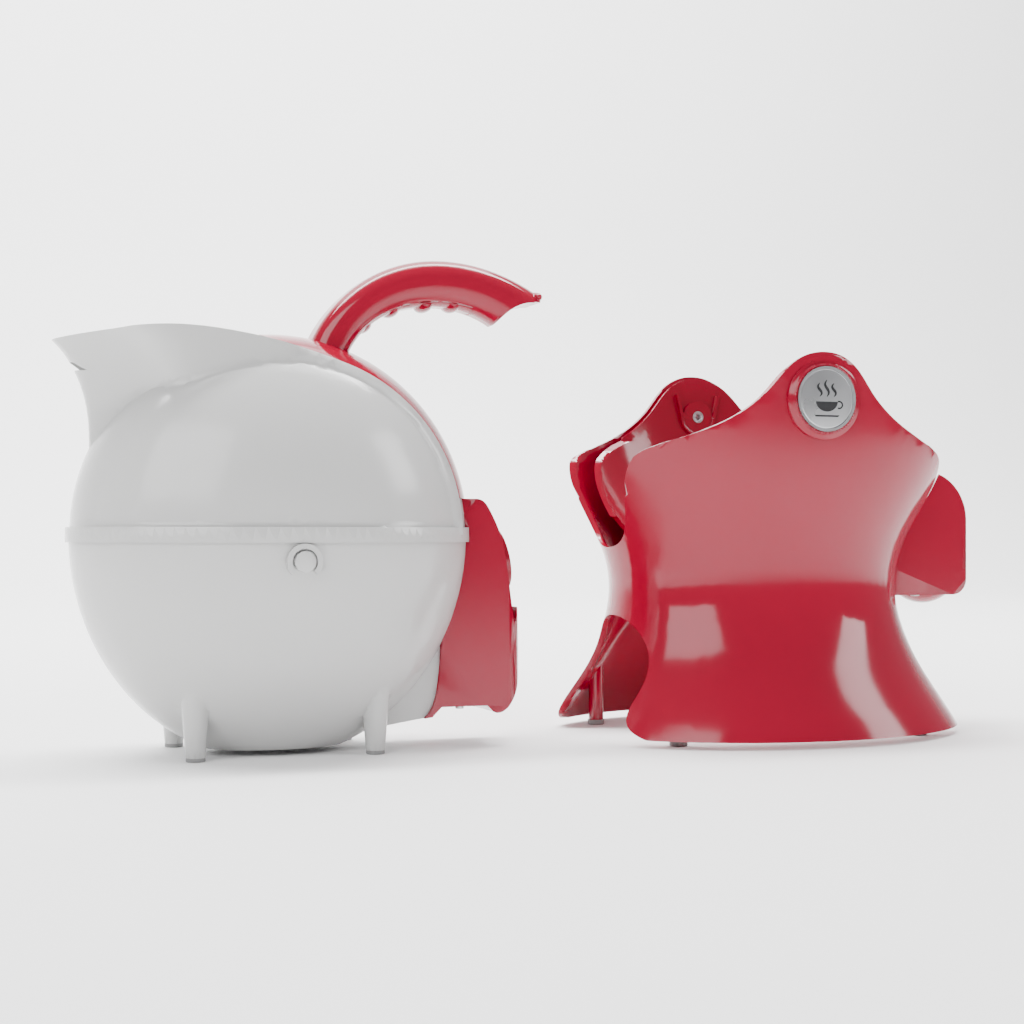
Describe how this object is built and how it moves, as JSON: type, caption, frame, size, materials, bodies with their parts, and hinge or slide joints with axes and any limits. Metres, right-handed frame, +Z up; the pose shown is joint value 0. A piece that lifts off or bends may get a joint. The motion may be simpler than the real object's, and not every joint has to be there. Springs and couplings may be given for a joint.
{
  "type": "tilting kettle",
  "caption": "Ball-shaped white kettle with beak spout, red tail handle and rear housing, standing in front of its red pouring cradle with two winged walls.",
  "frame": {"origin": "centre of the footprint of kettle and cradle together, at table level", "axes": "+Z up, spout points along -X, cradle lies on the +X side, +Y across"},
  "size_m": [0.5142, 0.19, 0.2533],
  "materials": {
    "white_shell": "glossy injection-moulded white polypropylene",
    "red_shell": "high-gloss injection-moulded red ABS",
    "steel": "fine brushed stainless steel",
    "black_plastic": "satin black moulded plastic",
    "grey_rubber": "soft grey rubber",
    "amber_lens": "translucent amber lens",
    "brass": "plated contact brass",
    "clear_silicone": "milky silicone tube"
  },
  "bodies": {
    "cradle": {"outer_shell": "red_shell", "liner_near": "red_shell", "liner_far": "red_shell", "hub_guides": "red_shell", "hub_screws": "steel", "badge_bosses": "red_shell", "badge_discs": "steel", "badge_bezels": "steel", "foot_posts": "red_shell", "foot_tips": "grey_rubber", "power_box_tray": "red_shell", "power_box_walls": "red_shell", "power_box_back": "red_shell", "cord_inlet_cap": "red_shell", "socket_block": "black_plastic", "contact_pins": "brass", "box_screws": "steel"},
    "trunnions": {"trunnion_rings": "white_shell"},
    "kettle": {"lower_bowl": "white_shell", "base_cover": "white_shell", "base_screws": "steel", "leg_pads": "grey_rubber", "plate_seal": "grey_rubber", "element_plate": "steel", "heating_element": "steel", "bowl_gasket": "grey_rubber", "upper_shell": "white_shell", "spine_cover": "red_shell", "tail_handle": "red_shell", "grip_strip": "red_shell", "rear_housing": "red_shell", "neck_fairing": "white_shell", "switch_bezel": "red_shell", "rocker_pin": "steel", "connector_barrel": "steel", "connector_core": "black_plastic", "thermostat_control": "black_plastic", "steam_tube": "clear_silicone", "pivot_discs": "white_shell", "lid_hinge_pin": "steel", "housing_screws": "steel"},
    "lid": {"lid": "white_shell", "lid_tab": "white_shell", "lid_seal": "grey_rubber"},
    "switch": {"power_rocker": "black_plastic", "indicator_lens": "amber_lens"}
  },
  "joints": [
    {"name": "kettle_lift", "type": "slide", "parent": "cradle", "child": "trunnions", "axis": [0, 0, 1], "range_m": [0, 0.15]},
    {"name": "kettle_pour", "type": "hinge", "parent": "trunnions", "child": "kettle", "pos_m": [-0.148, 0, 0.097], "axis": [0, -1, 0], "range_deg": [0, 70]},
    {"name": "lid_open", "type": "hinge", "parent": "kettle", "child": "lid", "pos_m": [-0.161, 0, 0.2046], "axis": [0, 1, 0], "range_deg": [0, 80]},
    {"name": "switch_rock", "type": "hinge", "parent": "kettle", "child": "switch", "pos_m": [-0.0274, 0, 0.097], "axis": [0, -1, 0], "range_deg": [0, 8]}
  ]
}
